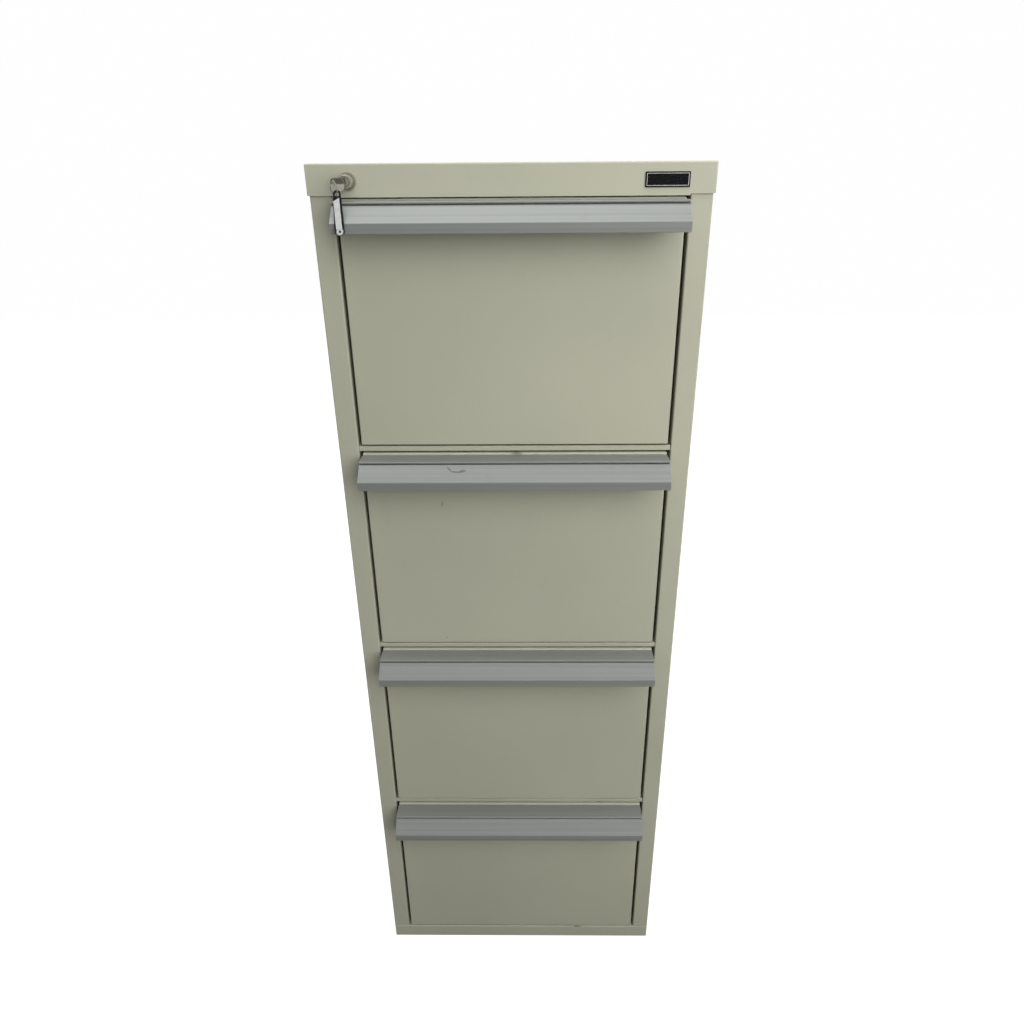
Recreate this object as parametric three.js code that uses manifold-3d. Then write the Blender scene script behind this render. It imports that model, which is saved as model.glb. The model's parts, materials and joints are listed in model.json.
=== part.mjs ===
// A four-drawer steel filing cabinet with full-width aluminium handles and a push lock.
// Millimetres, +Z up. While it is built, the front plane is y = 0, the depth runs along +Y,
// x = 0 is the middle and z = 0 is the floor. At the end the whole cabinet is centred on the origin.
import * as THREE from "three";
import { mergeVertices } from "three/addons/utils/BufferGeometryUtils.js";
import Module from "manifold-3d";

const wasm = await Module();
wasm.setup();

// ---------------------------------------------------------------- driving dimensions
const cabinetWidth = 470;
const cabinetDepth = 620;
const cabinetHeight = 1320;
const drawerCount = 4;
const sheet = 0.8; // folded sheet steel
const fit = 0.3; // gap left where two pieces meet
const bendRadius = 2; // outside of a fold

const capSheet = 1.2;
const capSkirt = 35.2; // height of the cover's skirt
const capOverhang = 2.2; // how far the cover stands proud of the body
const capStep = 1; // the skirt ends this much higher over the stiles, and lower between them
const capHem = 12; // lip turned in under the front skirt

const glideRadius = 14;
const glideStem = 4.5;
const glideFoot = 6;
const glideInset = 38; // from a glide's axis to the body's faces
const skirtClearance = 2; // base skirt to floor
const baseSkirt = 26;
const baseSheet = 1.2;

const stileWidth = 26.5;
const stileReturn = 45; // depth of the fold beside the opening
const rearFlange = 22;

const railHeight = 7.2;
const railDepth = 18;
const railRecess = 2; // drawer fronts stand this far in front of the rails
const railBend = 1.4;

const postDepth = 23;
const postSetback = 7; // rear post to the back of the body

const ribPitch = 75;
const ribWidth = 12;
const ribDepth = 4;

const frontGap = 2.3; // above and below a drawer front
const frontSideGap = 4.2; // beside a drawer front
const frontDepth = 20;
const frontRearLip = 12;

const handleReach = 45.6; // front plane to the lip
const handleWall = 2;
const handleFlange = 27; // depth of the top flange
const handleDrop = 2.3; // drawer front's top to the flange
const handleFaceTop = 6.6; // drawer front's top to the start of the sloping face
const handleFaceEnd = 24.2; // drawer front's top to the end of the sloping face
const handleLip = 11.6; // height of the lip below the face
const handleLeg = 19; // fixing leg against the drawer front
const handleStep = 2.4; // depth of the groove behind the bead
const handleBead = 2.8; // height of the round-nosed bead along the flange
const handleNose = 2; // radius between the face and the lip
const handleSoft = 0.5; // other corners

const slideThickness = 12.7;
const slideHeight = 45;
const slideSheet = 1.2;
const ballTrack = 2.2; // gap between the outer and inner members
const slideBackGap = 3; // outer member to the rear posts' back
const innerSlideShort = 28; // inner member shorter than the outer
const slideRise = 92; // tray's floor to the slide's middle

const trayBackGap = 32.7; // tray to the rear posts' back
const traySideDrop = 44; // drawer front's top to the tray's side
const trayLift = 10; // drawer front's bottom to the tray's floor
const trayRail = 9; // lip that carries the hanging files

const lockInset = 47; // body's side to the lock's axis
const lockDrop = 19; // cabinet's top to the lock's axis
const lockFlangeRadius = 9.8;
const lockFlange = 2.2;
const lockSleeveRadius = 8.8;
const lockSleeveTail = 4; // sleeve behind the nut
const barrelRadius = 7.6;
const barrelFit = 0.2;
const barrelReach = 18; // barrel's nose to the cover's skirt
const barrelLength = 42;
const plugRadius = 5.4;
const plugProud = 0.4; // plug in front of the barrel's nose
const plugBack = 2; // plug behind the keyhole's end
const spindleRadius = 3;
const spindleLength = 36;
const keyholeDepth = 14;
const lockNutWidth = 22;
const lockNutHeight = 4;

const keyBlade = [2, 8]; // thickness and height
const keyNeck = 4.4; // height of the key between the plug and the bow
const keyShank = 7; // barrel's nose to the bow
const bowSize = [14.8, 13.4]; // width and height
const bowDrop = 2.5; // bow's middle below the lock's axis
const bowThickness = 1.6;
const bowCorner = 4;
const bowHoleRadius = 2.2;
const bowHole = [-10.7, 0.1]; // from the lock's axis
const ringRadius = 7.8;
const ringWire = 0.65;
const ringYaw = 50; // degrees about the vertical, its right half to the front
const tagHang = 50; // degrees up the ring's front half, from its lowest point
const tagEnd = 46.7; // eye's middle to the tag's end
const tagLeft = 6.4; // eye's middle to the sides
const tagRight = 4.6;
const tagShoulder = 6; // eye's middle to the full width
const tagCorner = 4.4;
const tagThickness = 2;
const tagEye = 2.7; // the eye's radius
const tagRim = 1.7;
const tagClearance = 0.5; // tag to the top handle that it leans on
const tagSkew = 6; // degrees to the right
const tagHole = [-0.9, 1.1, 4]; // middle, radius, and height above the end
const labelMargin = 2.4; // label to the tag's right side
const labelFoot = 6.5; // label to the tag's end
const labelRecess = 0.8;
const labelThickness = 0.4;

const barWidth = 16;
const barThickness = 2;
const barSetback = 2; // bar behind the stile's fold
const barTop = 6; // bar's arm below the cover's top plate
const barArm = 20;
const barFootClearance = 60;
const barSlot = [7.4, 17]; // width and height of the slot for the spindle
const barSlotClearance = 0.7;

const badgeSize = [51.5, 16.5];
const badgeThickness = 1.4;
const badgeInset = 54.6; // body's side to the badge's middle
const badgeDrop = 19.1; // cabinet's top to the badge's middle
const badgeCorner = 0.8;

// ---------------------------------------------------------------- derived sizes
const halfWidth = cabinetWidth / 2;
const baseTop = skirtClearance + baseSkirt;
const bodyTop = cabinetHeight - capSheet - fit;
const openingHalf = halfWidth - stileWidth;
const frontHalf = openingHalf - frontSideGap;
const openingHeight = cabinetHeight - capSkirt - baseTop;
const rails = drawerCount - 1;
const frontHeight = (openingHeight - rails * railHeight) / drawerCount - 2 * frontGap;
const drawerPitch = frontHeight + 2 * frontGap + railHeight;
const frontTop = (row) => cabinetHeight - capSkirt - frontGap - row * drawerPitch;
const postBack = cabinetDepth - postSetback;
const slideWall = openingHalf - fit; // the stile's inner face to the outer member
const slideStart = frontDepth + bendRadius;
const slideLength = postBack - slideBackGap - slideStart;
const innerSlideLength = slideLength - innerSlideShort;
const traySide = slideWall - slideThickness - fit;
const trayStart = frontDepth + fit;
const trayLength = postBack - trayBackGap - trayStart;
const lockX = lockInset - halfWidth;
const badgeX = halfWidth - badgeInset;
const lockZ = cabinetHeight - lockDrop;
const skirtFace = -capOverhang;
const lockNose = skirtFace - barrelReach;

// ---------------------------------------------------------------- solids
const finishes = {
  paint: { color: 0xa9aa96, roughness: 0.5, metalness: 0 },
  aluminium: { color: 0x9fa3a1, roughness: 0.35, metalness: 1 },
  zinc: { color: 0xb4b6b8, roughness: 0.4, metalness: 1 },
  nickel: { color: 0xb9b4a4, roughness: 0.25, metalness: 1 },
  black: { color: 0x17181a, roughness: 0.4, metalness: 0 },
  nylon: { color: 0x2b2b2b, roughness: 0.6, metalness: 0 },
  card: { color: 0xd6d8da, roughness: 0.8, metalness: 0 },
};

const cabinet = new THREE.Group();

function solid(geometry) {
  const g = geometry.clone();
  g.deleteAttribute("normal");
  g.deleteAttribute("uv");
  const merged = mergeVertices(g, 1e-4);
  const vertProperties = merged.attributes.position.array;
  const triVerts = new Uint32Array(merged.index.array);
  return new wasm.Manifold(new wasm.Mesh({ numProp: 3, vertProperties, triVerts }));
}

function addPiece(name, finish, shape) {
  const mesh = shape.getMesh();
  const geometry = new THREE.BufferGeometry();
  geometry.setAttribute("position", new THREE.BufferAttribute(mesh.vertProperties, 3));
  geometry.setIndex(new THREE.BufferAttribute(mesh.triVerts, 1));
  geometry.computeVertexNormals();
  const piece = new THREE.Mesh(geometry, new THREE.MeshStandardMaterial(finishes[finish]));
  piece.name = name;
  cabinet.add(piece);
}

const union = (...shapes) => shapes.reduce((a, b) => a.add(b));

function block(low, high) {
  const size = high.map((v, i) => v - low[i]);
  const geometry = new THREE.BoxGeometry(...size);
  geometry.translate(...high.map((v, i) => (v + low[i]) / 2));
  return solid(geometry);
}

// Extrudes a closed outline along x, y or z. The outline's two coordinates are (y, z), (x, z) or (x, y).
function prism(outline, axis, from, to) {
  const shape = outline instanceof THREE.Shape ? outline : new THREE.Shape(outline);
  const depth = to - from;
  const geometry = new THREE.ExtrudeGeometry(shape, { depth, bevelEnabled: false, curveSegments: 12 });
  const turn = new THREE.Matrix4();
  if (axis === "x") turn.set(0, 0, 1, from, 1, 0, 0, 0, 0, 1, 0, 0, 0, 0, 0, 1);
  if (axis === "y") turn.set(1, 0, 0, 0, 0, 0, -1, to, 0, 1, 0, 0, 0, 0, 0, 1);
  if (axis === "z") turn.makeTranslation(0, 0, from);
  return solid(geometry.applyMatrix4(turn));
}

// A cylinder along y, from one depth to another.
function rod(radius, x, z, from, to, sides = 32) {
  const geometry = new THREE.CylinderGeometry(radius, radius, to - from, sides);
  geometry.translate(x, (from + to) / 2, z);
  return solid(geometry);
}

const point = (x, y) => new THREE.Vector2(x, y);

// Rounds the corners of an open path that have a radius.
function roundedPath(points, radius, steps = 4) {
  const out = [points[0]];
  for (let i = 1; i < points.length - 1; i++) {
    const a = points[i - 1].clone().sub(points[i]);
    const b = points[i + 1].clone().sub(points[i]);
    const half = Math.abs(Math.atan2(a.cross(b), a.dot(b))) / 2;
    const reach = radius / Math.tan(half);
    const bisector = a.clone().normalize().add(b.clone().normalize()).normalize();
    const centre = points[i].clone().addScaledVector(bisector, radius / Math.sin(half));
    const start = points[i].clone().addScaledVector(a.normalize(), reach).sub(centre);
    const end = points[i].clone().addScaledVector(b.normalize(), reach).sub(centre);
    const sweep = Math.atan2(start.cross(end), start.dot(end));
    for (let k = 0; k <= steps; k++) {
      out.push(start.clone().rotateAround(point(0, 0), (sweep * k) / steps).add(centre));
    }
  }
  out.push(points[points.length - 1]);
  return out;
}

// The outline of sheet folded along a path, with its thickness on the path's left, or on its
// right where the thickness is negative.
function folded(points, thickness, radius = bendRadius) {
  const middle = [];
  const count = points.length;
  const shift = thickness / 2;
  for (let i = 0; i < count; i++) {
    const before = points[Math.max(i - 1, 0)];
    const here = points[i];
    const after = points[Math.min(i + 1, count - 1)];
    const u = (i > 0 ? here.clone().sub(before) : after.clone().sub(here)).normalize();
    const v = (i < count - 1 ? after.clone().sub(here) : u.clone()).normalize();
    const normal = point(-u.y - v.y, u.x + v.x);
    normal.multiplyScalar(shift / (normal.dot(point(-u.y, u.x)) || 1));
    middle.push(here.clone().add(normal));
  }
  const path = roundedPath(middle, radius - Math.abs(shift));
  const sides = [[], []];
  path.forEach((here, i) => {
    const before = path[Math.max(i - 1, 0)];
    const after = path[Math.min(i + 1, path.length - 1)];
    const u = i > 0 ? here.clone().sub(before).normalize() : after.clone().sub(here).normalize();
    const v = i < path.length - 1 ? after.clone().sub(here).normalize() : u;
    const normal = point(-u.y - v.y, u.x + v.x);
    normal.multiplyScalar(shift / normal.dot(point(-u.y, u.x)));
    sides[0].push(here.clone().add(normal));
    sides[1].push(here.clone().sub(normal));
  });
  return [...sides[0], ...sides[1].reverse()];
}

// A rounded rectangle as a shape.
function roundedRectangle(low, high, radius) {
  const shape = new THREE.Shape();
  shape.moveTo(low[0] + radius, low[1]);
  shape.absarc(high[0] - radius, low[1] + radius, radius, -Math.PI / 2, 0, false);
  shape.absarc(high[0] - radius, high[1] - radius, radius, 0, Math.PI / 2, false);
  shape.absarc(low[0] + radius, high[1] - radius, radius, Math.PI / 2, Math.PI, false);
  shape.absarc(low[0] + radius, low[1] + radius, radius, Math.PI, Math.PI * 1.5, false);
  return shape;
}

// A block with all twelve edges rounded, as three rounded prisms that cross.
function softBlock(low, high, radius) {
  const face = (i, j) => {
    const shape = roundedRectangle([low[i], low[j]], [high[i], high[j]], radius);
    return shape.getPoints(4).slice(0, -1);
  };
  return prism(face(1, 2), "x", low[0], high[0])
    .intersect(prism(face(0, 2), "y", low[1], high[1]))
    .intersect(prism(face(0, 1), "z", low[2], high[2]));
}

const mirrored = (side, points) => points.map(([x, y]) => point(side * x, y));

// Sheet folded along [x, y] points that are given for the right side. On the left side the path
// runs the other way, so the thickness stays on the same side of the sheet.
function foldedUpright(side, points, thickness, from, to) {
  const path = mirrored(side, points);
  if (side < 0) path.reverse();
  return prism(folded(path, thickness), "z", from, to);
}

// ---------------------------------------------------------------- body
function sidePanel(side) {
  const path = [
    [openingHalf, stileReturn],
    [openingHalf, 0],
    [halfWidth, 0],
    [halfWidth, cabinetDepth],
    [halfWidth - rearFlange, cabinetDepth],
  ];
  return foldedUpright(side, path, sheet, baseTop + fit, bodyTop);
}

function rearPost(side) {
  const outer = halfWidth - sheet - fit;
  const path = [
    [openingHalf, postBack],
    [openingHalf, postBack - postDepth],
    [outer, postBack - postDepth],
    [outer, postBack],
  ];
  return foldedUpright(side, path, sheet, baseTop + fit, bodyTop);
}

function backPanel() {
  const edge = halfWidth - sheet - fit - bendRadius;
  const y = cabinetDepth - sheet - fit;
  const path = [point(edge, y)];
  for (const centre of [ribPitch, -ribPitch]) {
    path.push(point(centre + ribWidth, y));
    path.push(point(centre + ribWidth / 2, y - ribDepth));
    path.push(point(centre - ribWidth / 2, y - ribDepth));
    path.push(point(centre - ribWidth, y));
  }
  path.push(point(-edge, y));
  return prism(folded(path, sheet), "z", baseTop + fit, bodyTop);
}

function topCover() {
  const out = halfWidth + capOverhang;
  const edge = cabinetHeight - capSkirt + capStep;
  const dip = cabinetHeight - capSkirt - capStep;
  const low = [-out, skirtFace, edge];
  const high = [out, cabinetDepth + capOverhang, cabinetHeight];
  const shell = softBlock([low[0], low[1], edge - bendRadius * 2], high, bendRadius);
  const cut = block([-2 * out, 2 * low[1], edge - bendRadius * 3], [2 * out, 2 * high[1], edge]);
  const inside = block(
    [low[0] + capSheet, low[1] + capSheet, edge - 1],
    [high[0] - capSheet, high[1] - capSheet, high[2] - capSheet],
  );
  const half = openingHalf - fit;
  const tongue = roundedRectangle([-half, dip], [half, edge + capSheet + bendRadius * 2], bendRadius);
  const skirt = prism(tongue, "y", low[1], low[1] + capSheet);
  const hem = block(
    [-half + bendRadius, low[1] + capSheet / 2, dip],
    [half - bendRadius, low[1] + capHem, dip + capSheet],
  );
  const hole = rod(lockSleeveRadius + fit, lockX, lockZ, low[1] - 1, low[1] + capSheet + 1);
  return union(shell.subtract(cut).subtract(inside), skirt, hem).subtract(hole);
}

function basePan() {
  const low = [-halfWidth, 0, skirtClearance];
  const high = [halfWidth, cabinetDepth, baseTop];
  const shell = softBlock([low[0], low[1], low[2] - bendRadius * 2], high, bendRadius);
  const cut = block([2 * low[0], -1, low[2] - bendRadius * 3], [2 * high[0], high[1] + 1, low[2]]);
  const inside = block(
    [low[0] + baseSheet, baseSheet, low[2] - 1],
    [high[0] - baseSheet, high[1] - baseSheet, high[2] - baseSheet],
  );
  return shell.subtract(cut).subtract(inside);
}

// A channel across the opening, open to the back.
function crossRail(bottom, height, front = 0) {
  const top = bottom + height;
  const rear = front + railDepth;
  const path = [point(rear, bottom), point(front, bottom), point(front, top), point(rear, top)];
  return prism(folded(path, -sheet, railBend), "x", -openingHalf + fit, openingHalf - fit);
}

function topRail() {
  const bottom = cabinetHeight - capSkirt + capSheet + fit;
  const hole = rod(lockSleeveRadius + fit, lockX, lockZ, -1, sheet + 1);
  return crossRail(bottom, bodyTop - bottom).subtract(hole);
}

function glide(x, y) {
  const top = baseTop - baseSheet - fit;
  const profile = [
    [0, 0],
    [glideRadius - 1, 0],
    [glideRadius, 1],
    [glideRadius, glideFoot - 1],
    [glideRadius - 1, glideFoot],
    [glideStem, glideFoot],
    [glideStem, top],
    [0, top],
  ].map(([r, z]) => point(r, z));
  const geometry = new THREE.LatheGeometry(profile, 28);
  geometry.rotateX(Math.PI / 2);
  geometry.translate(x, y, 0);
  return solid(geometry);
}

// ---------------------------------------------------------------- drawers
function drawerFront(row) {
  const top = frontTop(row);
  const bottom = top - frontHeight;
  const outer = softBlock([-frontHalf, 0, bottom], [frontHalf, frontDepth + bendRadius * 2, top], bendRadius);
  const cut = block([-halfWidth, frontDepth, bottom - 1], [halfWidth, frontDepth + bendRadius * 3, top + 1]);
  const inside = block(
    [-frontHalf + sheet, sheet, bottom + sheet],
    [frontHalf - sheet, frontDepth - sheet, top - sheet],
  );
  const rear = block(
    [-frontHalf + frontRearLip, frontDepth - 2 * sheet, bottom + frontRearLip],
    [frontHalf - frontRearLip, frontDepth + 1, top - traySideDrop - frontRearLip],
  );
  return outer.subtract(cut).subtract(inside).subtract(rear);
}

// Points along an arc, from one angle to another.
function arc(x, y, radius, from, to, steps = 5) {
  const points = [];
  for (let k = 0; k <= steps; k++) {
    const angle = from + ((to - from) * k) / steps;
    points.push([x + radius * Math.cos(angle), y + radius * Math.sin(angle)]);
  }
  return points;
}

// The handle's section as [reach, drop below the drawer front's top].
function handle(row) {
  const top = frontTop(row);
  const wall = handleWall;
  const pitch = Math.atan2(handleFaceEnd - handleFaceTop, handleReach - handleFlange);
  const faceLength = (reach) => (reach - handleFlange) / Math.cos(pitch);
  const inner = (reach) => handleFaceTop + wall / Math.cos(pitch) + faceLength(reach) * Math.sin(pitch);
  const noseReach = handleReach - handleNose;
  const noseDrop = inner(noseReach) + (handleNose - wall) / Math.cos(pitch);
  const bead = handleBead / 2;
  const groove = handleFlange - handleStep;
  const lipBottom = handleFaceEnd + handleLip;
  const section = [
    [fit, handleDrop],
    ...arc(handleFlange - bead, handleDrop + bead, bead, -Math.PI / 2, Math.PI / 2),
    [groove, handleDrop + handleBead],
    [groove, handleFaceTop - handleSoft],
    [handleFlange - handleSoft, handleFaceTop],
    ...arc(noseReach, noseDrop, handleNose, pitch - Math.PI / 2, 0),
    [handleReach, lipBottom - handleSoft],
    [handleReach - handleSoft, lipBottom],
    [handleReach - wall + handleSoft, lipBottom],
    [handleReach - wall, lipBottom - handleSoft],
    [handleReach - wall, inner(handleReach - wall)],
    [groove - wall, inner(groove - wall)],
    [groove - wall, handleDrop + wall],
    [fit + wall, handleDrop + wall],
    [fit + wall, handleDrop + handleLeg - handleSoft],
    [fit + wall - handleSoft, handleDrop + handleLeg],
    [fit, handleDrop + handleLeg],
  ].map(([reach, drop]) => point(-reach, top - drop));
  return prism(section, "x", -frontHalf, frontHalf);
}

const trayFloor = (row) => frontTop(row) - frontHeight + trayLift;
const slideMiddle = (row) => trayFloor(row) + slideRise;

function tray(row) {
  const low = [-traySide, trayStart, trayFloor(row)];
  const high = [traySide, trayStart + trayLength, frontTop(row) - traySideDrop];
  const outer = block(low, high);
  const inside = block(
    [low[0] + sheet, low[1] + sheet, low[2] + sheet],
    [high[0] - sheet, high[1] - sheet, high[2] - sheet],
  );
  const mouth = block(
    [low[0] + trayRail, low[1] + sheet, low[2] + sheet],
    [high[0] - trayRail, high[1] - sheet, high[2] + 1],
  );
  return outer.subtract(inside).subtract(mouth);
}

// A channel along the depth. Its web is at x = web, and its flanges reach to x = tips.
function runner(web, tips, height, middle, length) {
  const half = height / 2;
  const path = [
    point(tips, middle + half),
    point(web, middle + half),
    point(web, middle - half),
    point(tips, middle - half),
  ];
  const thickness = web > tips ? -slideSheet : slideSheet;
  return prism(folded(path, thickness), "y", slideStart, slideStart + length);
}

function outerRunner(side, row) {
  const web = side * slideWall;
  const tips = side * (slideWall - slideThickness + slideSheet);
  return runner(web, tips, slideHeight, slideMiddle(row), slideLength);
}

function innerRunner(side, row) {
  const web = side * (traySide + fit);
  const tips = side * (slideWall - slideSheet - ballTrack);
  const height = slideHeight - 2 * (slideSheet + ballTrack);
  return runner(web, tips, height, slideMiddle(row), innerSlideLength);
}

// ---------------------------------------------------------------- lock, key and tag
function lockHousing() {
  const flange = rod(lockFlangeRadius, lockX, lockZ, skirtFace - fit - lockFlange, skirtFace - fit, 40);
  const sleeveEnd = sheet + fit + lockNutHeight + lockSleeveTail;
  const sleeve = rod(lockSleeveRadius, lockX, lockZ, skirtFace - fit - 1, sleeveEnd, 40);
  const bore = rod(barrelRadius + barrelFit, lockX, lockZ, lockNose, sleeveEnd + 1, 40);
  return union(flange, sleeve).subtract(bore);
}

function lockNut() {
  const start = sheet + fit;
  const corners = lockNutWidth / 2 / Math.cos(Math.PI / 6);
  const hexagon = rod(corners, lockX, lockZ, start, start + lockNutHeight, 6);
  const bore = rod(lockSleeveRadius + fit, lockX, lockZ, start - 1, start + lockNutHeight + 1);
  return hexagon.subtract(bore);
}

function lockBarrel() {
  const profile = [
    [0, 0],
    [barrelRadius - 1, 0],
    [barrelRadius, 1],
    [barrelRadius, barrelLength],
    [spindleRadius, barrelLength],
    [spindleRadius, barrelLength + spindleLength],
    [0, barrelLength + spindleLength],
  ].map(([r, y]) => point(r, y));
  const geometry = new THREE.LatheGeometry(profile, 36);
  geometry.translate(lockX, lockNose, 0);
  geometry.translate(0, 0, lockZ);
  const end = lockNose + keyholeDepth + plugBack;
  return solid(geometry).subtract(rod(plugRadius + fit, lockX, lockZ, lockNose - 1, end + fit));
}

// The plug turns in the barrel's nose, and the key's blade fills its keyway.
function lockPlug() {
  const front = lockNose - plugProud;
  const plug = rod(plugRadius, lockX, lockZ, front, lockNose + keyholeDepth + plugBack);
  const keyway = block(
    [lockX - keyBlade[0] / 2 - fit, front - 1, lockZ - keyBlade[1] / 2 - fit],
    [lockX + keyBlade[0] / 2 + fit, lockNose + keyholeDepth, lockZ + keyBlade[1] / 2 + fit],
  );
  return plug.subtract(keyway);
}

// The bow is bent flat to the front, to the left of the blade.
function key() {
  const bowBack = lockNose - keyShank;
  const left = lockX - keyBlade[0] / 2;
  const right = lockX + keyBlade[0] / 2;
  const half = keyBlade[1] / 2;
  const blade = block(
    [left, lockNose - plugProud, lockZ - half],
    [right, lockNose + keyholeDepth - fit, lockZ + half],
  );
  const neck = block(
    [left, bowBack - bowThickness / 2, lockZ - keyNeck / 2],
    [right, lockNose, lockZ + keyNeck / 2],
  );
  const low = [right - bowSize[0], lockZ - bowSize[1] / 2 - bowDrop];
  const outline = roundedRectangle(low, [right, low[1] + bowSize[1]], bowCorner);
  const bow = prism(outline, "y", bowBack - bowThickness, bowBack);
  const [x, z] = [lockX + bowHole[0], lockZ + bowHole[1]];
  const hole = rod(bowHoleRadius, x, z, bowBack - bowThickness - 1, bowBack + 1, 20);
  return union(blade, neck, bow).subtract(hole);
}

const degrees = (angle) => THREE.MathUtils.degToRad(angle);
const bowMiddle = lockNose - keyShank - bowThickness / 2;
const ringTop = new THREE.Vector3(lockX + bowHole[0], bowMiddle, lockZ + bowHole[1]);

// Where the tag's eye hangs: up the front half of the ring, because the handle holds the tag out.
const tagPivot = new THREE.Vector3(Math.sin(degrees(tagHang)), 0, -1 - Math.cos(degrees(tagHang)))
  .multiplyScalar(ringRadius)
  .applyAxisAngle(new THREE.Vector3(0, 0, 1), -degrees(ringYaw))
  .add(ringTop);

// The tag leans on the end of the top handle's sloping face, at a small clearance.
const tagReach = handleReach + tagPivot.y;
const tagHeight = tagPivot.z - (frontTop(0) - handleFaceEnd);
const tagPress = Math.asin((tagThickness / 2 + tagClearance) / Math.hypot(tagReach, tagHeight));
const tagLean = Math.atan2(tagReach, tagHeight) + tagPress;

function keyRing() {
  const geometry = new THREE.TorusGeometry(ringRadius, ringWire, 8, 32);
  geometry.rotateX(Math.PI / 2);
  geometry.rotateZ(-degrees(ringYaw));
  geometry.translate(ringTop.x, ringTop.y, ringTop.z - ringRadius);
  return solid(geometry);
}

// Turns a piece drawn hanging straight down from its eye's middle, and hangs it on the ring.
function hung(geometry) {
  geometry.rotateY(-degrees(tagSkew));
  geometry.rotateX(-tagLean);
  geometry.translate(tagPivot.x, tagPivot.y, tagPivot.z);
  return solid(geometry);
}

// An eye at the right, a slanting left shoulder and a round end.
function tagOutline() {
  const shape = new THREE.Shape();
  shape.moveTo(-tagLeft, -tagShoulder);
  shape.absarc(tagCorner - tagLeft, tagCorner - tagEnd, tagCorner, Math.PI, 1.5 * Math.PI, false);
  shape.absarc(tagRight - tagCorner, tagCorner - tagEnd, tagCorner, 1.5 * Math.PI, 2 * Math.PI, false);
  shape.absarc(0, 0, tagEye + tagRim, 0, Math.PI, false);
  return shape;
}

function tagLabelOutline(inset) {
  const left = tagRim + inset - tagLeft;
  const right = tagRight - labelMargin - inset;
  const foot = labelFoot + inset - tagEnd;
  return new THREE.Shape([
    point(left, -tagShoulder - tagRim - inset),
    point(left, foot),
    point(right, foot),
    point(right, -tagEye - tagRim - inset),
  ]);
}

// A plate in the plane of the front, from one depth to another.
function plateGeometry(shape, from, to) {
  const settings = { depth: to - from, bevelEnabled: false, curveSegments: 8 };
  const geometry = new THREE.ExtrudeGeometry(shape, settings);
  geometry.rotateX(Math.PI / 2);
  geometry.translate(0, to, 0);
  return geometry;
}

const circle = (x, z, radius) => new THREE.Path().absarc(x, z, radius, 0, Math.PI * 2, true);

function keyTag() {
  const [holeX, holeRadius, holeHeight] = tagHole;
  const shape = tagOutline();
  shape.holes.push(circle(0, 0, tagEye));
  shape.holes.push(circle(holeX, holeHeight - tagEnd, holeRadius));
  const body = hung(plateGeometry(shape, -tagThickness / 2, tagThickness / 2));
  const pocket = plateGeometry(tagLabelOutline(-fit), -tagThickness, labelRecess - tagThickness / 2);
  return body.subtract(hung(pocket));
}

function tagLabel() {
  const back = labelRecess - tagThickness / 2 - fit;
  return hung(plateGeometry(tagLabelOutline(0), back - labelThickness, back));
}

function lockBar() {
  const right = -openingHalf - sheet - barSetback;
  const left = right - barWidth;
  const front = stileReturn + barSetback;
  const back = front + barThickness;
  const top = cabinetHeight - capSheet - barTop;
  const strip = block([left, front, baseTop + barFootClearance], [right, back, top]);
  const arm = block([left, front, top - barArm], [lockX + barSlot[0], back, top]);
  const slotFoot = lockZ - spindleRadius - barSlotClearance;
  const slot = block(
    [lockX - barSlot[0] / 2, front - 1, slotFoot],
    [lockX + barSlot[0] / 2, back + 1, slotFoot + barSlot[1]],
  );
  return union(strip, arm).subtract(slot);
}

function badgePlate() {
  const [w, h] = badgeSize;
  const z = cabinetHeight - badgeDrop;
  const outline = roundedRectangle([badgeX - w / 2, z - h / 2], [badgeX + w / 2, z + h / 2], badgeCorner);
  return prism(outline, "y", skirtFace - fit - badgeThickness, skirtFace - fit);
}

// ---------------------------------------------------------------- assembly
const sides = { left: -1, right: 1 };

addPiece("top_cover", "paint", topCover());
addPiece("base_pan", "paint", basePan());
addPiece("back_panel", "paint", backPanel());
addPiece("top_rail", "paint", topRail());
for (const [word, side] of Object.entries(sides)) {
  addPiece(`side_panel_${word}`, "paint", sidePanel(side));
  addPiece(`rear_post_${word}`, "zinc", rearPost(side));
  addPiece(`glide_front_${word}`, "nylon", glide(side * (halfWidth - glideInset), glideInset));
  addPiece(`glide_rear_${word}`, "nylon", glide(side * (halfWidth - glideInset), cabinetDepth - glideInset));
}
for (let row = 0; row < drawerCount; row++) {
  const number = row + 1;
  addPiece(`drawer_front_${number}`, "paint", drawerFront(row));
  addPiece(`drawer_tray_${number}`, "paint", tray(row));
  addPiece(`drawer_handle_${number}`, "aluminium", handle(row));
  for (const [word, side] of Object.entries(sides)) {
    addPiece(`outer_runner_${number}_${word}`, "zinc", outerRunner(side, row));
    addPiece(`inner_runner_${number}_${word}`, "zinc", innerRunner(side, row));
  }
  if (row < rails) {
    const railBottom = frontTop(row) - frontHeight - frontGap - railHeight;
    addPiece(`front_rail_${number}`, "paint", crossRail(railBottom, railHeight, railRecess));
  }
}
addPiece("lock_housing", "nickel", lockHousing());
addPiece("lock_nut", "zinc", lockNut());
addPiece("lock_barrel", "nickel", lockBarrel());
addPiece("lock_plug", "nickel", lockPlug());
addPiece("key", "nickel", key());
addPiece("key_ring", "nickel", keyRing());
addPiece("key_tag", "black", keyTag());
addPiece("tag_label", "card", tagLabel());
addPiece("lock_bar", "zinc", lockBar());
addPiece("badge_plate", "black", badgePlate());

// Centres the whole cabinet on the origin, standing on z = 0.
const box = new THREE.Box3().setFromObject(cabinet, true);
cabinet.position.x = -(box.min.x + box.max.x) / 2;
cabinet.position.y = -(box.min.y + box.max.y) / 2;

export default cabinet;
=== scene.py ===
"""A four-drawer steel filing cabinet: painted sheet steel, drawn aluminium handles, a nickel lock with a
key and a tag. Everything is in metres, +Z up, and the drawers open towards -Y."""

import json
import math

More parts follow.
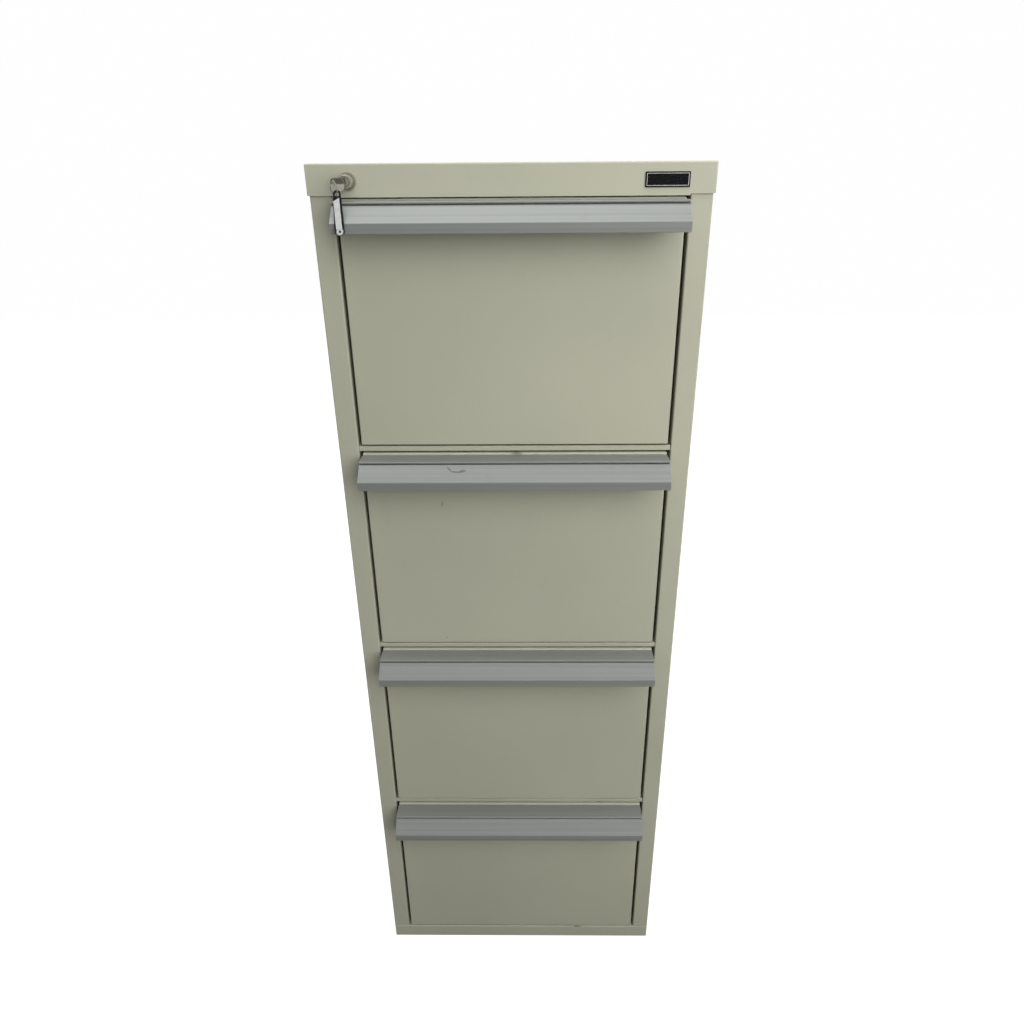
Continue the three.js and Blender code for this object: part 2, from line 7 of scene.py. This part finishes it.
import bmesh
import bpy
from mathutils import Matrix, Vector

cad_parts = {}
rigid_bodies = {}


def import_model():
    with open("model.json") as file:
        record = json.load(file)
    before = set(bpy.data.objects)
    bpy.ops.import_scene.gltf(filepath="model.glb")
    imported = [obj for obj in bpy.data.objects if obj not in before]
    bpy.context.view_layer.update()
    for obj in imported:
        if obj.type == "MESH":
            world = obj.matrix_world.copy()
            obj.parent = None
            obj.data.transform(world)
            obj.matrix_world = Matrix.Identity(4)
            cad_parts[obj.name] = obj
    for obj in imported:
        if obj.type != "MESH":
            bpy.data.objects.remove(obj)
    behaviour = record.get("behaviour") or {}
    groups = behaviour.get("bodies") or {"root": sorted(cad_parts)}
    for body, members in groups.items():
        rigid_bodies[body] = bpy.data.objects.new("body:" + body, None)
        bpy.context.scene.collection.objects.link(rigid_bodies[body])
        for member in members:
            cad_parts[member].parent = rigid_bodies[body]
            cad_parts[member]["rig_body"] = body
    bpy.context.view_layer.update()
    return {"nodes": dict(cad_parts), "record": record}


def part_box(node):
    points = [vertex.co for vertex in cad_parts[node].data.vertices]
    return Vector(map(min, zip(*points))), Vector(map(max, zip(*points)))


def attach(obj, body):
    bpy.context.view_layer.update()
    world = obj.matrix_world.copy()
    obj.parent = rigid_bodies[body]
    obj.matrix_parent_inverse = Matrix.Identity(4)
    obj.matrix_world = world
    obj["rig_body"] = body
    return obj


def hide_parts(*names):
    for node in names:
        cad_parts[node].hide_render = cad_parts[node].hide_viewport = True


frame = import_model()

MM = 0.001
DRAWERS = (1, 2, 3, 4)
front_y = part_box("side_panel_left")[0].y  # the plane of the stiles and the drawer fronts

CAMERA_PLACE = Vector((0.0245, front_y - 0.9452, 1.317))
CAMERA_PITCH = 0.4336  # radians, down
CAMERA_YAW = -0.0122  # radians, a little to the left
CAMERA_ROLL = 0.0077  # radians
CAMERA_LENS = 26.36  # millimetres, on a sensor 36 mm wide
CAMERA_SHIFT = -0.0123

WHITE = (1, 1, 1)
DAYLIGHT = (1, 0.985, 0.955)
# Each light's name, place, target, size across and up, power in watts, and colour.
LIGHTS = (
    ("window_light", (0.95, front_y - 1.7, 2.0), (0.0, front_y, 1.1), (1.8, 2.5), 48, DAYLIGHT),
    ("lamp_light", (1.0, front_y - 0.9, 1.3), (0.1, front_y, 0.9), (0.5, 1.2), 4.2, DAYLIGHT),
    ("ceiling_light", (0.0, front_y - 0.1, 2.9), (0, front_y - 0.1, 1.3), (1.6, 1.2), 32, WHITE),
    ("right_light", (2.2, 0.6, 1.5), (0, 0.1, 0.7), (1.4, 1.4), 16, WHITE),
    ("left_light", (-2.2, 0.6, 1.5), (0, 0.1, 0.7), (1.4, 1.4), 14, WHITE),
    ("back_light", (0.5, 2.6, 1.6), (0, 0.3, 0.7), (1.6, 1.4), 24, WHITE),
)
ROOM_COLOUR = (0.99, 0.995, 0.99, 1)
ROOM_SEEN = 1.0  # the room's strength behind the cabinet
ROOM_FILL = 0.27  # its soft light on every side
MIRRORED_WALLS = 0.13  # its strength in metal, low down
MIRRORED_CEILING = 0.9  # what is added overhead
CEILING_TIGHTNESS = 8  # how near to straight up that is
MIRRORED_LEAN = 1.2  # how much brighter metal mirrors it to the left
MIRRORED_LEAST = 0.2  # the least of that, on the right
FLOOR_SIZE = 6

lock_axis = sum(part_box("lock_plug"), Vector()) / 2
tag_low, tag_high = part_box("key_tag")
tag_eyelet = Vector((tag_high.x - 5.2 * MM, tag_low.y, tag_low.z + 4.4 * MM))
EYELET_RADIUS = 4.6 * MM
EYELET_HOLE = 1.7 * MM

front_low, front_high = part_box("drawer_front_2")
handle_low, handle_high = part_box("drawer_handle_2")
rail_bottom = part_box("front_rail_3")[0].z
lowest_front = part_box("drawer_front_4")[0].z
# Small marks, each a place, a size in X and Z, and a turn in radians.
PAINT_MARKS = (
    (Vector((-0.101, front_y, front_high.z - 74.5 * MM)), (0.8 * MM, 6 * MM), -0.25),
    (Vector((0.003, front_y, front_high.z - 1 * MM)), (10 * MM, 1.4 * MM), 0.0),
    (Vector((-0.1055, front_y, front_low.z + 9 * MM)), (1.3 * MM, 1 * MM), 0.0),
    (Vector((0.137, front_y, rail_bottom + 1 * MM)), (7 * MM, 1.2 * MM), 0.0),
    (Vector((0.105, front_y, lowest_front - 3.5 * MM)), (9 * MM, 1.4 * MM), 0.0),
)
HANDLE_SCUFFS = (
    (Vector((-0.085, handle_low.y, handle_high.z - 8.5 * MM)), (4.5 * MM, 1.1 * MM), -0.6),
    (Vector((-0.077, handle_low.y, handle_high.z - 11.2 * MM)), (7.2 * MM, 1 * MM), -0.05),
    (Vector((-0.068, handle_low.y, handle_high.z - 10.6 * MM)), (6 * MM, 1.6 * MM), 0.12),
)

WELD_DISTANCE = 1e-6
FLAT_WITHIN = math.radians(0.3)  # faces that turn less than this are one face
BEND = math.radians(80)  # a bend is shaded smooth up to this turn
SHARP = math.radians(40)  # an edge that turns more than this is sharp
EDGE_BREAK = 0.25 * MM

# Rivet heads, each a radius and a height.
HANDLE_RIVET = (3.2 * MM, 1.3 * MM)
SLIDE_RIVET = (3 * MM, 0.9 * MM)
BACK_RIVET = (3.4 * MM, 1.2 * MM)


# ---------------------------------------------------------------- nodes
def add_node(tree, kind, inputs=None, **settings):
    """A node in a tree. Each input is a value, or a socket that it is linked from."""
    made = tree.nodes.new(kind)
    for key, value in settings.items():
        setattr(made, key, value)
    for key, value in (inputs or {}).items():
        if isinstance(value, bpy.types.NodeSocket):
            tree.links.new(value, made.inputs[key])
        else:
            made.inputs[key].default_value = value
    return made


def add_maths(tree, operation, a, b=0.0):
    return add_node(tree, "ShaderNodeMath", {0: a, 1: b}, operation=operation).outputs[0]


# ---------------------------------------------------------------- camera, lights and floor
def place_camera():
    """Level with the cabinet's top, a little right of its middle, looking down at it."""
    level = math.cos(CAMERA_PITCH)
    forward = Vector((math.sin(CAMERA_YAW) * level, math.cos(CAMERA_YAW) * level, -math.sin(CAMERA_PITCH)))
    right = Vector((math.cos(CAMERA_YAW), -math.sin(CAMERA_YAW), 0))
    down = forward.cross(right)
    across = right * math.cos(CAMERA_ROLL) + down * math.sin(CAMERA_ROLL)
    up = right * math.sin(CAMERA_ROLL) - down * math.cos(CAMERA_ROLL)
    data = bpy.data.cameras.new("camera")
    data.sensor_width = 36
    data.lens = CAMERA_LENS
    data.shift_x = CAMERA_SHIFT
    data.clip_start = 0.02
    camera = bpy.data.objects.new("camera", data)
    turn = Matrix((across, up, -forward)).transposed()
    camera.matrix_world = Matrix.Translation(CAMERA_PLACE) @ turn.to_4x4()
    bpy.context.scene.collection.objects.link(camera)
    bpy.context.scene.camera = camera


def area_light(name, place, target, size, power, colour):
    """A soft light that metal doesn't mirror."""
    data = bpy.data.lights.new(name, "AREA")
    data.shape = "RECTANGLE"
    data.size, data.size_y = size
    data.energy = power
    data.color = colour
    light = bpy.data.objects.new(name, data)
    light.location = place
    light.rotation_euler = (Vector(target) - Vector(place)).to_track_quat("-Z", "Y").to_euler()
    light.visible_glossy = False
    bpy.context.scene.collection.objects.link(light)


def light_room():
    """A tall soft light in front, weaker ones round the sides, and a room that is brightest overhead."""
    for light in LIGHTS:
        area_light(*light)
    world = bpy.data.worlds.new("room")
    bpy.context.scene.world = world
    world.use_nodes = True
    tree = world.node_tree
    background = tree.nodes["Background"]
    background.inputs["Color"].default_value = ROOM_COLOUR

    outwards = tree.nodes.new("ShaderNodeTexCoord").outputs["Generated"]
    direction = add_node(tree, "ShaderNodeVectorMath", {0: outwards}, operation="NORMALIZE")
    split = add_node(tree, "ShaderNodeSeparateXYZ", {0: direction.outputs[0]})
    up = add_maths(tree, "MAXIMUM", split.outputs["Z"])
    overhead = add_maths(tree, "MULTIPLY", add_maths(tree, "POWER", up, CEILING_TIGHTNESS), MIRRORED_CEILING)
    lean = add_maths(tree, "MULTIPLY", split.outputs["X"], MIRRORED_LEAN)
    leftwards = add_maths(tree, "MAXIMUM", add_maths(tree, "SUBTRACT", 1.0, lean), MIRRORED_LEAST)
    mirrored = add_maths(tree, "MULTIPLY", add_maths(tree, "ADD", overhead, MIRRORED_WALLS), leftwards)

    ray = tree.nodes.new("ShaderNodeLightPath").outputs
    metal = {"Value": ray["Is Glossy Ray"], "To Min": ROOM_FILL, "To Max": mirrored}
    shone = add_node(tree, "ShaderNodeMapRange", metal).outputs[0]
    eye = {"Value": ray["Is Camera Ray"], "To Min": shone, "To Max": ROOM_SEEN}
    strength = add_node(tree, "ShaderNodeMapRange", eye).outputs[0]
    tree.links.new(strength, background.inputs["Strength"])


def lay_floor():
    """Pale to the eye, and dim to the cabinet, so that the bottom drawer isn't lit from below."""
    bm = bmesh.new()
    bmesh.ops.create_grid(bm, x_segments=1, y_segments=1, size=FLOOR_SIZE)
    mesh = bpy.data.meshes.new("floor")
    bm.to_mesh(mesh)
    bm.free()
    floor = bpy.data.objects.new("floor", mesh)
    bpy.context.scene.collection.objects.link(floor)
    grey, glow = rgb(0.16, 0.16, 0.16), rgb(1, 1, 0.995)
    f = Finish("pale_floor", Base_Color=grey, Roughness=0.9, Specular_IOR_Level=0.1, Emission_Color=glow)
    f.set("Emission Strength", f.node("ShaderNodeLightPath").outputs["Is Camera Ray"])
    mesh.materials.append(f.material)


# ---------------------------------------------------------------- finishes
class Finish:
    """A material under construction, with short calls for the nodes that the finishes share."""

    def __init__(self, name, **sockets):
        self.material = bpy.data.materials.new(name)
        self.material.use_nodes = True
        self.tree = self.material.node_tree
        self.shader = self.tree.nodes["Principled BSDF"]
        for socket, value in sockets.items():
            self.shader.inputs[socket.replace("_", " ")].default_value = value
        self.place = self.node("ShaderNodeTexCoord").outputs["Object"]

    def node(self, kind, inputs=None, **settings):
        return add_node(self.tree, kind, inputs, **settings)

    def set(self, socket, value):
        self.tree.links.new(value, self.shader.inputs[socket])

    def maths(self, operation, a, b):
        return add_maths(self.tree, operation, a, b)

    def times(self, a, b):
        return self.maths("MULTIPLY", a, b)

    def stretched(self, scale, at=(0, 0, 0), turn=(0, 0, 0)):
        """The piece's own coordinates, moved so that `at` is the middle, then turned and scaled."""
        moved = self.node("ShaderNodeVectorMath", {0: self.place, 1: Vector(at)}, operation="SUBTRACT")
        mapped = self.node("ShaderNodeMapping", {"Vector": moved.outputs[0], "Rotation": turn})
        scaled = {0: mapped.outputs[0], 1: Vector(scale)}
        return self.node("ShaderNodeVectorMath", scaled, operation="MULTIPLY").outputs[0]

    def noise(self, scale, detail=2.0, rough=0.5, vector=None):
        inputs = {"Vector": vector or self.place, "Scale": scale, "Detail": detail, "Roughness": rough}
        return self.node("ShaderNodeTexNoise", inputs).outputs["Fac"]

    def span(self, value, low, high, to_low=0.0, to_high=1.0):
        """A value from low to high as one from to_low to to_high, held at the ends."""
        inputs = {"Value": value, "From Min": low, "From Max": high, "To Min": to_low, "To Max": to_high}
        return self.node("ShaderNodeMapRange", inputs).outputs["Result"]

    def mix(self, factor, a, b):
        """Colour a where the factor is 0, and colour b where it is 1."""
        node = self.node("ShaderNodeMix", data_type="RGBA")
        for key, value in (("Factor", factor), ("A", a), ("B", b)):
            socket = [s for s in node.inputs if s.name == key and s.enabled][0]
            if isinstance(value, bpy.types.NodeSocket):
                self.tree.links.new(value, socket)
            else:
                socket.default_value = value
        return [s for s in node.outputs if s.enabled][0]

    def bump(self, height, distance, strength, under=None):
        """Relief of a distance in metres, on top of another relief."""
        inputs = {"Height": height, "Distance": distance, "Strength": strength}
        if under:
            inputs["Normal"] = under
        return self.node("ShaderNodeBump", inputs).outputs["Normal"]

    def edges(self, radius):
        """1 within a radius of a sharp edge, 0 on flats."""
        soft = self.node("ShaderNodeBevel", {"Radius": radius}, samples=4)
        true = self.node("ShaderNodeNewGeometry")
        inputs = {0: soft.outputs[0], 1: true.outputs["Normal"]}
        dot = self.node("ShaderNodeVectorMath", inputs, operation="DOT_PRODUCT").outputs["Value"]
        return self.span(dot, 0.995, 0.9)

    def crevice(self, reach):
        """1 down in a groove narrower than the reach, 0 in the open."""
        inputs = {"Distance": reach}
        open_air = self.node("ShaderNodeAmbientOcclusion", inputs, samples=6, only_local=True).outputs["AO"]
        return self.span(open_air, 0.55, 0.3)

    def spot(self, at, size, turn=0.0):
        """1 inside an ellipse on the front, at a place, of a size in X and Z, fading to its rim."""
        scale = (1 / size[0], 0, 1 / size[1])
        vector = self.stretched(scale, at, (0, turn, 0))
        length = self.node("ShaderNodeVectorMath", {0: vector}, operation="LENGTH").outputs["Value"]
        return self.span(length, 1.0, 0.6)


def rgb(r, g, b):
    return (r, g, b, 1)


def painted_steel():
    """Grey-green enamel: a fine peel, a slow drift of tone, a painted highlight and pale rubbed wear on the
    folds, a few chips and faint grime.
    """
    f = Finish("painted_steel", Roughness=0.42, IOR=1.5)
    deep, light = rgb(0.378, 0.388, 0.304), rgb(0.412, 0.415, 0.33)
    pigment, dirt = rgb(0.33, 0.335, 0.268), rgb(0.27, 0.265, 0.205)
    fold_highlight, rubbed = rgb(0.62, 0.62, 0.53), rgb(0.72, 0.71, 0.62)
    chipped, scratched = rgb(0.1, 0.1, 0.09), rgb(0.085, 0.085, 0.075)

    drift = f.span(f.noise(3.2, 3.0), 0.35, 0.65)
    body = f.mix(drift, deep, light)
    speckle = f.span(f.noise(1400, 1.0), 0.3, 0.7)
    body = f.mix(f.times(speckle, 0.18), body, pigment)
    grime = f.span(f.noise(38, 6.0, 0.62), 0.62, 0.8)
    body = f.mix(f.times(grime, 0.16), body, dirt)
    # Along the folds: first a painted highlight, then pale patches where the paint is rubbed.
    fold = f.edges(1.2 * MM)
    body = f.mix(f.times(fold, 0.3), body, fold_highlight)
    rub = f.times(fold, f.span(f.noise(60, 5.0, 0.7), 0.5, 0.72))
    body = f.mix(f.times(rub, 0.6), body, rubbed)
    chip = f.times(f.edges(0.9 * MM), f.span(f.noise(170, 3.0, 0.6), 0.7, 0.73))
    body = f.mix(chip, body, chipped)
    for at, size, turn in PAINT_MARKS:
        mark = f.times(f.spot(at, size, turn), f.span(f.noise(900, 3.0, 0.6), 0.3, 0.5))
        body = f.mix(f.times(mark, 0.75), body, scratched)
    f.set("Base Color", body)

    uneven = f.span(f.noise(22, 5.0, 0.6), 0.3, 0.7, 0.36, 0.5)
    f.set("Roughness", f.maths("ADD", uneven, f.times(rub, 0.1)))
    buckle = f.bump(f.noise(4.5, 1.0), 4 * MM, 0.5)
    f.set("Normal", f.bump(f.noise(620, 2.0), 0.12 * MM, 0.55, buckle))
    return f.material


def drawn_aluminium():
    """Satin anodised extrusion: die lines and bands of tone along its length, stains, dark scuffs, a painted
    highlight along its edges and painted shade in its grooves.
    """
    f = Finish("drawn_aluminium", Metallic=0.5, Roughness=0.4)
    deep, light = rgb(0.285, 0.302, 0.294), rgb(0.342, 0.358, 0.348)
    lined, stained = rgb(0.25, 0.262, 0.258), rgb(0.25, 0.25, 0.235)
    edge_highlight, shadowed, scuffed = rgb(0.7, 0.72, 0.7), rgb(0.03, 0.032, 0.03), rgb(0.07, 0.075, 0.072)

    lines = f.noise(1.0, 3.0, 0.6, f.stretched((2.5, 1500, 1500)))
    bands = f.noise(1.0, 2.0, 0.5, f.stretched((0.8, 210, 210)))
    tone = f.mix(f.span(bands, 0.3, 0.7), deep, light)
    tone = f.mix(f.times(f.span(lines, 0.45, 0.75), 0.3), tone, lined)
    stain = f.span(f.noise(26, 6.0, 0.65), 0.6, 0.82)
    tone = f.mix(f.times(stain, 0.25), tone, stained)
    # Painted highlight along the edges, then painted shade down in the grooves.
    tone = f.mix(f.times(f.edges(0.7 * MM), 0.4), tone, edge_highlight)
    tone = f.mix(f.crevice(3.5 * MM), tone, shadowed)
    for at, size, turn in HANDLE_SCUFFS:
        tone = f.mix(f.times(f.spot(at, size, turn), 0.6), tone, scuffed)
    f.set("Base Color", tone)

    f.set("Roughness", f.span(f.maths("ADD", lines, stain), 0.4, 1.2, 0.34, 0.5))
    f.set("Normal", f.bump(lines, 0.04 * MM, 0.6))
    return f.material


def zinc_plate():
    """Zinc with a spangle of small flat crystals, each a little paler or darker."""
    f = Finish("zinc_plate", Metallic=0.6, Roughness=0.35)
    crystals = f.node("ShaderNodeTexVoronoi", {"Vector": f.place, "Scale": 180}).outputs["Color"]
    shade = f.node("ShaderNodeSeparateColor", {"Color": crystals}).outputs[0]
    f.set("Base Color", f.mix(shade, rgb(0.5, 0.51, 0.52), rgb(0.6, 0.61, 0.62)))
    f.set("Roughness", f.span(f.noise(90, 4.0), 0.3, 0.7, 0.28, 0.46))
    return f.material


def nickel_plate(name, pale, dark_reflection=None):
    """Yellowed nickel, with a painted highlight on its edges. Given a painted dark reflection, that colour
    starts a little below the lock's axis and goes up.
    """
    f = Finish(name, Metallic=0.7, Roughness=0.25)
    wear = f.span(f.noise(160, 3.0, 0.5), 0.35, 0.7)
    tone = f.mix(f.times(wear, 0.35), pale, rgb(0.5, 0.49, 0.4))
    # Painted reflection: dark from a little below the lock's axis upwards.
    if dark_reflection:
        height = f.node("ShaderNodeSeparateXYZ", {0: f.stretched((1, 1, 1), lock_axis)}).outputs["Z"]
        tone = f.mix(f.span(height, -2.6 * MM, -1.8 * MM, 0.0, 0.9), tone, dark_reflection)
    # Painted highlight: a pale line along the edges.
    tone = f.mix(f.times(f.edges(0.4 * MM), 0.5), tone, rgb(0.95, 0.94, 0.86))
    f.set("Base Color", tone)
    f.set("Roughness", f.span(wear, 0, 1, 0.22, 0.34))
    f.set("Normal", f.bump(f.noise(900, 2.0), 0.01 * MM, 0.4))
    return f.material


def black_plastic(name, roughness, eyelet=None):
    """Glossy black with a little dust. With an eyelet, a pale ring is moulded in at that place."""
    f = Finish(name, Roughness=roughness)
    dust = f.span(f.noise(500, 5.0, 0.6), 0.5, 0.8)
    tone = f.mix(f.times(dust, 0.25), rgb(0.005, 0.005, 0.006), rgb(0.035, 0.035, 0.033))
    if eyelet:
        disc = f.spot(eyelet, (EYELET_RADIUS, EYELET_RADIUS))
        hole = f.spot(eyelet, (EYELET_HOLE, EYELET_HOLE))
        tone = f.mix(f.maths("SUBTRACT", disc, hole), tone, rgb(0.4, 0.41, 0.41))
    f.set("Base Color", tone)
    f.set("Roughness", f.span(dust, 0, 1, roughness, roughness + 0.2))
    f.set("Normal", f.bump(f.noise(1800, 2.0), 0.01 * MM, 0.5))
    return f.material


def label_card():
    """The tag's pale card, a little smudged."""
    f = Finish("label_card", Roughness=0.45)
    smudge = f.span(f.noise(160, 5.0, 0.6), 0.45, 0.75)
    f.set("Base Color", f.mix(smudge, rgb(0.4, 0.41, 0.41), rgb(0.3, 0.31, 0.31)))
    f.set("Normal", f.bump(f.noise(1500, 4.0, 0.7), 0.03 * MM, 0.5))
    return f.material


def printed_line():
    """Pale grey ink, worn thin in places."""
    f = Finish("printed_line", Roughness=0.5)
    worn = f.span(f.noise(700, 4.0, 0.6), 0.45, 0.8)
    f.set("Base Color", f.mix(worn, rgb(0.62, 0.63, 0.62), rgb(0.35, 0.36, 0.35)))
    f.set("Normal", f.bump(f.noise(1600, 2.0), 0.01 * MM, 0.5))
    return f.material


def moulded_nylon():
    """The glides' dark nylon, scuffed paler."""
    f = Finish("moulded_nylon", Roughness=0.6)
    scuff = f.span(f.noise(300, 5.0), 0.5, 0.8)
    f.set("Base Color", f.mix(scuff, rgb(0.03, 0.03, 0.03), rgb(0.12, 0.12, 0.11)))
    f.set("Normal", f.bump(f.noise(1200, 2.0), 0.05 * MM, 0.5))
    return f.material


# ---------------------------------------------------------------- pieces
def body_of(node):
    return frame["nodes"][node]["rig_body"]


def refined(node, material):
    """The node's solid as clean faces, with its sharp edges broken and its bends smooth."""
    bm = bmesh.new()
    bm.from_mesh(frame["nodes"][node].data)
    bmesh.ops.remove_doubles(bm, verts=bm.verts, dist=WELD_DISTANCE)
    bmesh.ops.dissolve_limit(bm, angle_limit=FLAT_WITHIN, verts=bm.verts, edges=bm.edges)
    bmesh.ops.recalc_face_normals(bm, faces=bm.faces)
    mesh = bpy.data.meshes.new(node + "_finished")
    bm.to_mesh(mesh)
    bm.free()
    piece = bpy.data.objects.new(node + "_finished", mesh)
    bpy.context.scene.collection.objects.link(piece)
    mesh.shade_smooth()
    mesh.set_sharp_from_angle(angle=BEND)
    bevel = piece.modifiers.new("broken_edges", "BEVEL")
    bevel.width = EDGE_BREAK
    bevel.segments = 2
    bevel.limit_method = "ANGLE"
    bevel.angle_limit = SHARP
    flats = piece.modifiers.new("flat_faces", "WEIGHTED_NORMAL")
    flats.weight = 100
    mesh.materials.append(material)
    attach(piece, body_of(node))
    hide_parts(node)


def new_piece(name, bm, material, body):
    """A finished piece from a bmesh, riding on a body, in the given material."""
    bmesh.ops.recalc_face_normals(bm, faces=bm.faces)
    mesh = bpy.data.meshes.new(name)
    bm.to_mesh(mesh)
    bm.free()
    piece = bpy.data.objects.new(name, mesh)
    bpy.context.scene.collection.objects.link(piece)
    mesh.materials.append(material)
    mesh.shade_smooth()
    mesh.set_sharp_from_angle(angle=SHARP)
    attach(piece, body)


def add_bar(bm, low, high):
    """A box between two corners, added to a bmesh."""
    made = bmesh.ops.create_cube(bm, size=1.0)
    size = [b - a for a, b in zip(low, high)]
    middle = [(a + b) / 2 for a, b in zip(low, high)]
    bmesh.ops.scale(bm, vec=size, verts=made["verts"])
    bmesh.ops.translate(bm, vec=middle, verts=made["verts"])


def add_rivet(bm, at, head, towards):
    """A domed rivet head at a place, its dome pointing along a unit vector, added to a bmesh."""
    radius, height = head
    made = bmesh.ops.create_uvsphere(bm, u_segments=20, v_segments=10, radius=radius)
    bmesh.ops.scale(bm, vec=(1, 1, height / radius), verts=made["verts"])
    turn = Vector((0, 0, 1)).rotation_difference(Vector(towards)).to_matrix()
    bmesh.ops.rotate(bm, cent=(0, 0, 0), matrix=turn, verts=made["verts"])
    bmesh.ops.translate(bm, vec=at, verts=made["verts"])


def badge_border(material):
    """One thin plain line printed just inside the badge's edge."""
    low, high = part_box("badge_plate")
    inset, width, proud, root = 1.6 * MM, 0.45 * MM, 0.04 * MM, 0.3 * MM
    y0, y1 = low.y - proud, low.y + root
    x0, x1, z0, z1 = low.x + inset, high.x - inset, low.z + inset, high.z - inset
    bm = bmesh.new()
    add_bar(bm, (x0, y0, z0), (x1, y1, z0 + width))
    add_bar(bm, (x0, y0, z1 - width), (x1, y1, z1))
    add_bar(bm, (x0, y0, z0 + width), (x0 + width, y1, z1 - width))
    add_bar(bm, (x1 - width, y0, z0 + width), (x1, y1, z1 - width))
    new_piece("badge_line", bm, material, body_of("badge_plate"))


def handle_rivets(number, slot):
    """Rivets through a handle's fixing leg, which show from below."""
    low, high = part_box(f"drawer_handle_{number}")
    leg, below_top = 2.3 * MM, 13 * MM
    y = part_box(f"drawer_front_{number}")[0].y - leg
    bm = bmesh.new()
    for share in (0.08, 0.36, 0.64, 0.92):
        x = low.x + (high.x - low.x) * share
        add_rivet(bm, (x, y, high.z - below_top), HANDLE_RIVET, (0, -1, 0))
    new_piece(f"handle_rivets_{number}", bm, finishes[slot], body_of(f"drawer_handle_{number}"))


def slide_rivets(number, slot):
    """Rivet heads inside the tray, where the inner slide members are fixed to its sides."""
    tray_low, tray_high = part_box(f"drawer_tray_{number}")
    sheet = 0.8 * MM
    bm = bmesh.new()
    for side, wall, inward in (("left", tray_low.x, 1), ("right", tray_high.x, -1)):
        low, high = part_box(f"inner_runner_{number}_{side}")
        for share in (0.1, 0.5, 0.9):
            y = low.y + (high.y - low.y) * share
            at = (wall + inward * sheet, y, (low.z + high.z) / 2)
            add_rivet(bm, at, SLIDE_RIVET, (inward, 0, 0))
    new_piece(f"slide_rivets_{number}", bm, finishes[slot], body_of(f"drawer_tray_{number}"))


def back_rivets(slot):
    """Pop rivets down both edges of the back panel."""
    low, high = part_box("back_panel")
    edge, end, gaps = 9 * MM, 40 * MM, 7
    bm = bmesh.new()
    for x in (low.x + edge, high.x - edge):
        for step in range(gaps + 1):
            z = low.z + end + (high.z - low.z - 2 * end) * step / gaps
            add_rivet(bm, (x, high.y, z), BACK_RIVET, (0, 1, 0))
    new_piece("back_rivets", bm, finishes[slot], body_of("back_panel"))


# ---------------------------------------------------------------- the cabinet
place_camera()
light_room()
lay_floor()

finishes = {
    "painted_steel": painted_steel(),
    "anodised_aluminium": drawn_aluminium(),
    "zinc_plate": zinc_plate(),
    "nickel": nickel_plate("lock_nickel", rgb(0.5, 0.49, 0.4)),
    "tag_plastic": black_plastic("tag_plastic", 0.2, tag_eyelet),
    "badge_plastic": black_plastic("badge_plastic", 0.22),
    "tag_card": label_card(),
    "nylon": moulded_nylon(),
}
# The key: pale nickel with a painted dark reflection over its upper part.
own_finish = {"key": nickel_plate("key_nickel", rgb(0.85, 0.84, 0.75), rgb(0.15, 0.145, 0.11))}
slots = {row["node"]: row["material_slot"] for row in frame["record"]["subparts"]}
for name in frame["nodes"]:
    refined(name, own_finish.get(name, finishes[slots[name]]))
badge_border(printed_line())
for number in DRAWERS:
    handle_rivets(number, "anodised_aluminium")
    slide_rivets(number, "zinc_plate")
back_rivets("zinc_plate")

view = bpy.context.scene.view_settings
view.view_transform = "Standard"
view.look = "None"
